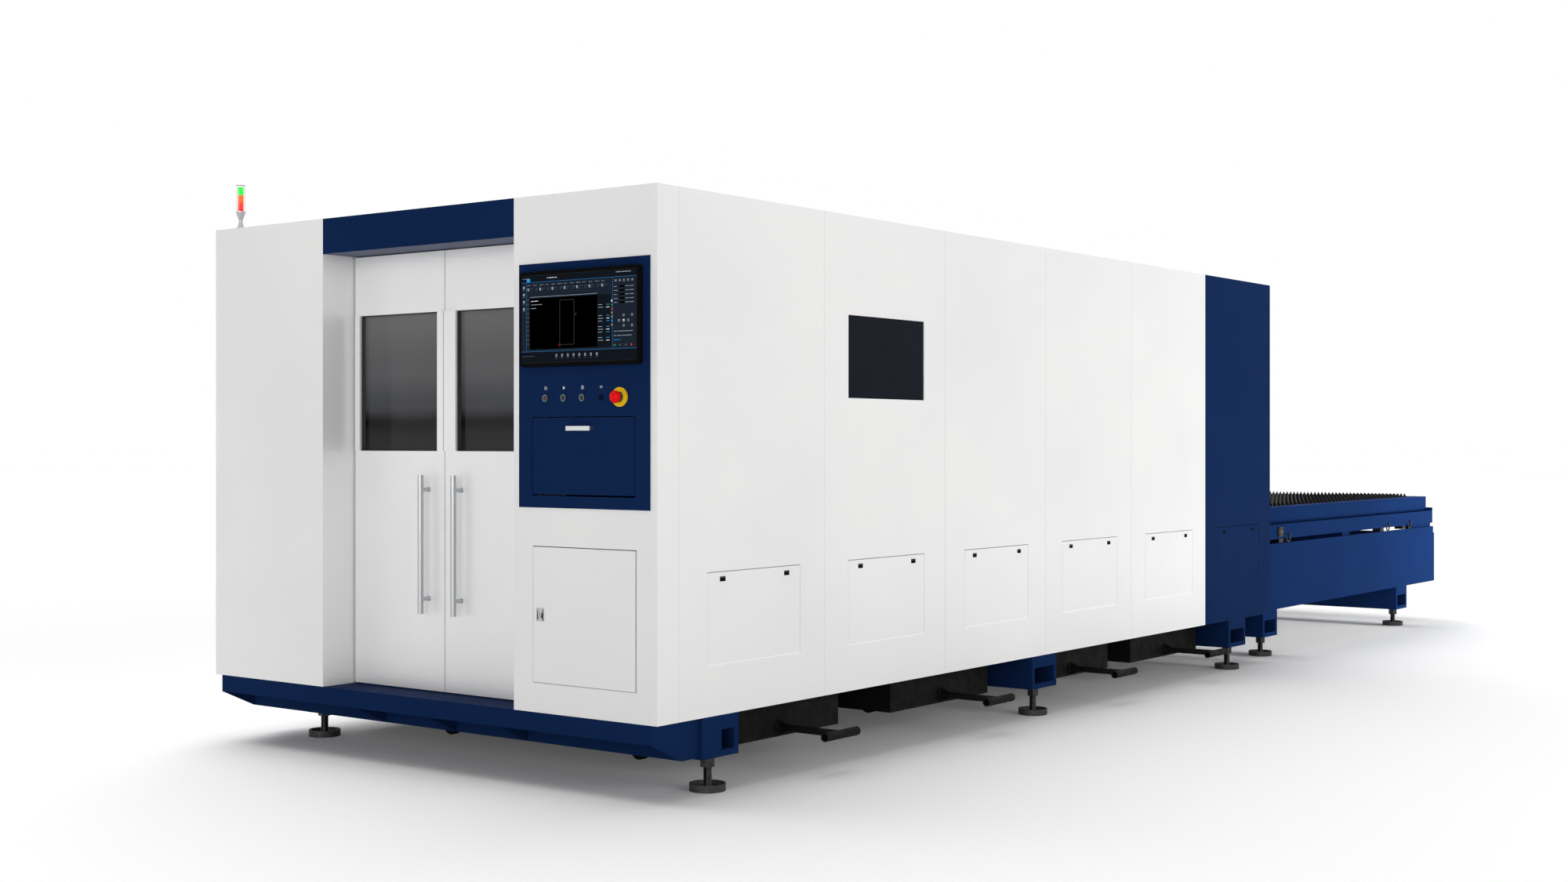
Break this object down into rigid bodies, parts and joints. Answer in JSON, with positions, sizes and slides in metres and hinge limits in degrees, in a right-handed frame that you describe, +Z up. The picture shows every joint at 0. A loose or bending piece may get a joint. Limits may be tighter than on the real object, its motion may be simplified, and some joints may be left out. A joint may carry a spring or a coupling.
{
  "type": "fiber laser cutting machine",
  "caption": "Enclosed sheet laser cutting machine with hinged front doors, control column, side hatches, pull-out scrap carts, an inner gantry and a toothed-slat exchange pallet behind it.",
  "frame": {"origin": "on the floor, under the middle of the whole machine with its table", "axes": "+X to the operator's right, +Y from the front doors to the exchange table, +Z up"},
  "size_m": [2.426, 8.079, 2.185],
  "materials": {
    "white_paint": "textured powder coat",
    "blue_paint": "textured powder coat",
    "black_paint": "matt powder coat",
    "steel": "satin",
    "slat_steel": "dark, heat stained",
    "zinc": "dark zinc",
    "foot_iron": "dark",
    "tinted_glass": "tinted",
    "black_plastic": "moulded",
    "screen": "lit screen",
    "red_plastic": "gloss",
    "yellow_plastic": "gloss",
    "clear_plastic": "clear",
    "lens_plastic": "lit lenses",
    "aluminium": "machined"
  },
  "bodies": {
    "machine": {"bed_frame": "blue_paint", "front_step": "blue_paint", "foot_pads": "foot_iron", "foot_stems": "zinc", "foot_nuts": "zinc", "left_front_column": "white_paint", "right_front_column": "white_paint", "front_header": "blue_paint", "right_side_panels": "white_paint", "left_side_panels": "white_paint", "roof_panels": "white_paint", "rear_module": "blue_paint", "door_pivot_pins": "steel", "control_panel": "blue_paint", "monitor_bezel": "black_plastic", "monitor_screen": "screen", "button_rings": "steel", "usb_port": "black_plastic", "stop_ring": "yellow_plastic", "side_window_glass": "tinted_glass", "gantry_rails": "steel", "exchange_frame": "blue_paint", "roller_rails": "blue_paint", "table_rollers": "zinc", "transport_hooks": "zinc", "tower_neck": "white_paint", "tower_lenses": "lens_plastic", "tower_cover": "clear_plastic"},
    "left_door_body": {"left_door": "white_paint", "left_door_glass": "tinted_glass", "left_door_handle": "steel"},
    "right_door_body": {"right_door": "white_paint", "right_door_glass": "tinted_glass", "right_door_handle": "steel"},
    "power_button_body": {"power_button": "black_plastic"},
    "start_button_body": {"start_button": "black_plastic"},
    "lamp_button_body": {"lamp_button": "black_plastic"},
    "stop_button_body": {"stop_button": "red_plastic"},
    "keyboard_flap_body": {"keyboard_flap": "blue_paint", "flap_handle": "steel", "keyboard": "black_plastic"},
    "lower_door_body": {"lower_door": "white_paint", "lower_door_lock": "steel"},
    "side_hatch_1_body": {"side_hatch_1": "white_paint"},
    "side_hatch_2_body": {"side_hatch_2": "white_paint"},
    "side_hatch_3_body": {"side_hatch_3": "white_paint"},
    "side_hatch_4_body": {"side_hatch_4": "white_paint"},
    "side_hatch_5_body": {"side_hatch_5": "white_paint"},
    "side_hatch_6_body": {"side_hatch_6": "blue_paint"},
    "scrap_cart_1_body": {"scrap_cart_1": "black_paint"},
    "scrap_cart_2_body": {"scrap_cart_2": "black_paint"},
    "scrap_cart_3_body": {"scrap_cart_3": "black_paint"},
    "scrap_cart_4_body": {"scrap_cart_4": "black_paint"},
    "gantry": {"gantry_beam": "aluminium"},
    "carriage": {"head_carriage": "aluminium"},
    "head": {"cutting_head": "black_plastic"},
    "pallet": {"pallet_frame": "blue_paint", "pallet_slats": "slat_steel"}
  },
  "joints": [
    {"name": "left_door_swing", "type": "hinge", "parent": "machine", "child": "left_door_body", "pos_m": [-0.532, -3.8265, 1], "axis": [0, 0, -1], "range_deg": [0, 90]},
    {"name": "right_door_swing", "type": "hinge", "parent": "machine", "child": "right_door_body", "pos_m": [0.396, -3.8265, 1], "axis": [0, 0, 1], "range_deg": [0, 90]},
    {"name": "power_press", "type": "slide", "parent": "machine", "child": "power_button_body", "axis": [0, 1, 0], "range_m": [0, 0.003], "stiffness_N_per_m": 600},
    {"name": "start_press", "type": "slide", "parent": "machine", "child": "start_button_body", "axis": [0, 1, 0], "range_m": [0, 0.003], "stiffness_N_per_m": 600},
    {"name": "lamp_press", "type": "slide", "parent": "machine", "child": "lamp_button_body", "axis": [0, 1, 0], "range_m": [0, 0.003], "stiffness_N_per_m": 600},
    {"name": "stop_press", "type": "slide", "parent": "machine", "child": "stop_button_body", "axis": [0, 1, 0], "range_m": [0, 0.005]},
    {"name": "keyboard_flap_drop", "type": "hinge", "parent": "machine", "child": "keyboard_flap_body", "pos_m": [0.7545, -3.9945, 1.008], "axis": [1, 0, 0], "range_deg": [0, 90]},
    {"name": "lower_door_swing", "type": "hinge", "parent": "machine", "child": "lower_door_body", "pos_m": [0.9745, -3.9865, 0.591], "axis": [0, 0, 1], "range_deg": [0, 110]},
    {"name": "side_hatch_1_tilt", "type": "hinge", "parent": "machine", "child": "side_hatch_1_body", "pos_m": [1.0684, -3.4793, 0.44], "axis": [0, 1, 0], "range_deg": [0, 90]},
    {"name": "side_hatch_2_tilt", "type": "hinge", "parent": "machine", "child": "side_hatch_2_body", "pos_m": [1.0684, -2.6629, 0.44], "axis": [0, 1, 0], "range_deg": [0, 90]},
    {"name": "side_hatch_3_tilt", "type": "hinge", "parent": "machine", "child": "side_hatch_3_body", "pos_m": [1.0684, -1.8465, 0.44], "axis": [0, 1, 0], "range_deg": [0, 90]},
    {"name": "side_hatch_4_tilt", "type": "hinge", "parent": "machine", "child": "side_hatch_4_body", "pos_m": [1.0684, -1.0301, 0.44], "axis": [0, 1, 0], "range_deg": [0, 90]},
    {"name": "side_hatch_5_tilt", "type": "hinge", "parent": "machine", "child": "side_hatch_5_body", "pos_m": [1.0684, -0.2137, 0.44], "axis": [0, 1, 0], "range_deg": [0, 90]},
    {"name": "side_hatch_6_tilt", "type": "hinge", "parent": "machine", "child": "side_hatch_6_body", "pos_m": [1.0684, 0.6055, 0.44], "axis": [0, 1, 0], "range_deg": [0, 90]},
    {"name": "scrap_cart_1_pull", "type": "slide", "parent": "machine", "child": "scrap_cart_1_body", "axis": [1, 0, 0], "range_m": [0, 1.4]},
    {"name": "scrap_cart_2_pull", "type": "slide", "parent": "machine", "child": "scrap_cart_2_body", "axis": [1, 0, 0], "range_m": [0, 1.4]},
    {"name": "scrap_cart_3_pull", "type": "slide", "parent": "machine", "child": "scrap_cart_3_body", "axis": [1, 0, 0], "range_m": [0, 1.4]},
    {"name": "scrap_cart_4_pull", "type": "slide", "parent": "machine", "child": "scrap_cart_4_body", "axis": [1, 0, 0], "range_m": [0, 1.4]},
    {"name": "gantry_travel", "type": "slide", "parent": "machine", "child": "gantry", "axis": [0, 1, 0], "range_m": [0, 2.95]},
    {"name": "carriage_travel", "type": "slide", "parent": "gantry", "child": "carriage", "axis": [1, 0, 0], "range_m": [-0.8, 0.8]},
    {"name": "head_lower", "type": "slide", "parent": "carriage", "child": "head", "axis": [0, 0, 1], "range_m": [-0.115, 0]},
    {"name": "pallet_travel", "type": "slide", "parent": "machine", "child": "pallet", "axis": [0, 1, 0], "range_m": [-3.4, 0]}
  ]
}
